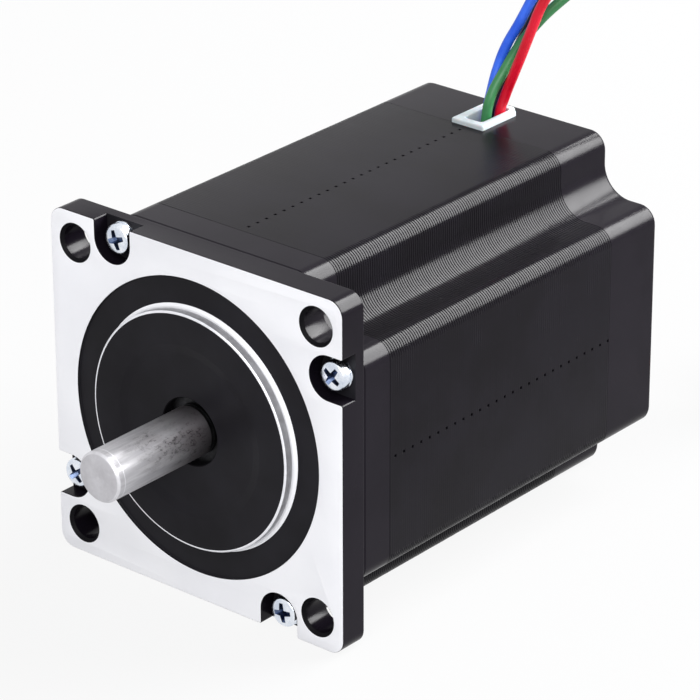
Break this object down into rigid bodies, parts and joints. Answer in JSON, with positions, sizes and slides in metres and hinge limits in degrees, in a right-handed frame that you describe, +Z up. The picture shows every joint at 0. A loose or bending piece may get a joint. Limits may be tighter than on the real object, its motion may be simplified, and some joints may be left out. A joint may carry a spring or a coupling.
{
  "type": "stepper motor",
  "caption": "Square-flanged two-phase stepper motor with a black laminated body, raised pilot, round steel shaft and coloured leads from a grommet on top.",
  "frame": {"origin": "on the shaft axis, in the plane of the machined mounting face", "axes": "-Y is the way the shaft points, +Y runs back through the body, +X is to the right seen from the front and +Z is up, towards the grommet"},
  "size_m": [0.0712, 0.1581, 0.0893],
  "materials": {
    "black_paint": "satin black paint over die-cast metal; the front face is machined bare",
    "laminations": "satin black over stacked sheet edges",
    "insulator_nylon": "moulded",
    "copper": "enamelled wire",
    "ground_steel": "ground",
    "rotor_steel": "ground sheet steel",
    "magnet": "nickel grey",
    "brass": "turned",
    "bearing_steel": "polished",
    "bright_zinc": "bright zinc plate",
    "pale_plastic": "moulded, pale grey",
    "circuit_board": "solder mask",
    "red_insulation": "extruded insulation",
    "green_insulation": "extruded insulation",
    "blue_insulation": "extruded insulation",
    "black_insulation": "extruded insulation",
    "tinned_copper": "tinned strands",
    "white_nylon": "moulded"
  },
  "bodies": {
    "housing": {"front_cap": "black_paint", "rear_cap": "black_paint", "stator_stack": "laminations", "front_insulator": "insulator_nylon", "rear_insulator": "insulator_nylon", "winding_1": "copper", "winding_2": "copper", "winding_3": "copper", "winding_4": "copper", "winding_5": "copper", "winding_6": "copper", "winding_7": "copper", "winding_8": "copper", "terminal_pins": "brass", "front_bearing_outer_ring": "bearing_steel", "front_bearing_shields": "bearing_steel", "rear_bearing_outer_ring": "bearing_steel", "rear_bearing_shields": "bearing_steel", "wave_washer": "bearing_steel", "case_screws": "bright_zinc", "lock_washers": "bright_zinc", "grommet": "pale_plastic", "terminal_board": "circuit_board", "red_lead_run": "red_insulation", "red_lead_coil": "red_insulation", "green_lead_run": "green_insulation", "green_lead_coil": "green_insulation", "blue_lead_run": "blue_insulation", "blue_lead_coil": "blue_insulation", "black_lead_run": "black_insulation", "black_lead_coil": "black_insulation", "red_lead_tip": "tinned_copper", "green_lead_tip": "tinned_copper", "blue_lead_tip": "tinned_copper", "black_lead_tip": "tinned_copper", "coil_tie": "white_nylon"},
    "rotor": {"shaft": "ground_steel", "front_sleeve": "ground_steel", "rear_sleeve": "ground_steel", "rotor_cup_1": "rotor_steel", "rotor_cup_2": "rotor_steel", "rotor_cup_3": "rotor_steel", "rotor_cup_4": "rotor_steel", "rotor_magnet_1": "magnet", "rotor_magnet_2": "magnet", "rotor_spacer": "brass", "front_bearing_inner_ring": "bearing_steel", "rear_bearing_inner_ring": "bearing_steel"},
    "front_ball_set": {"front_bearing_balls": "bearing_steel", "front_bearing_cage": "bearing_steel"},
    "rear_ball_set": {"rear_bearing_balls": "bearing_steel", "rear_bearing_cage": "bearing_steel"}
  },
  "joints": [
    {"name": "shaft_spin", "type": "hinge", "parent": "housing", "child": "rotor", "pos_m": [0, 0, 0], "axis": [0, -1, 0], "continuous": true},
    {"name": "front_cage_spin", "type": "hinge", "parent": "housing", "child": "front_ball_set", "pos_m": [0, 0, 0], "axis": [0, -1, 0], "continuous": true},
    {"name": "rear_cage_spin", "type": "hinge", "parent": "housing", "child": "rear_ball_set", "pos_m": [0, 0, 0], "axis": [0, -1, 0], "continuous": true}
  ],
  "couplings": [
    {"joint": "front_cage_spin", "follows": "shaft_spin", "ratio": 0.368},
    {"joint": "rear_cage_spin", "follows": "shaft_spin", "ratio": 0.368}
  ]
}
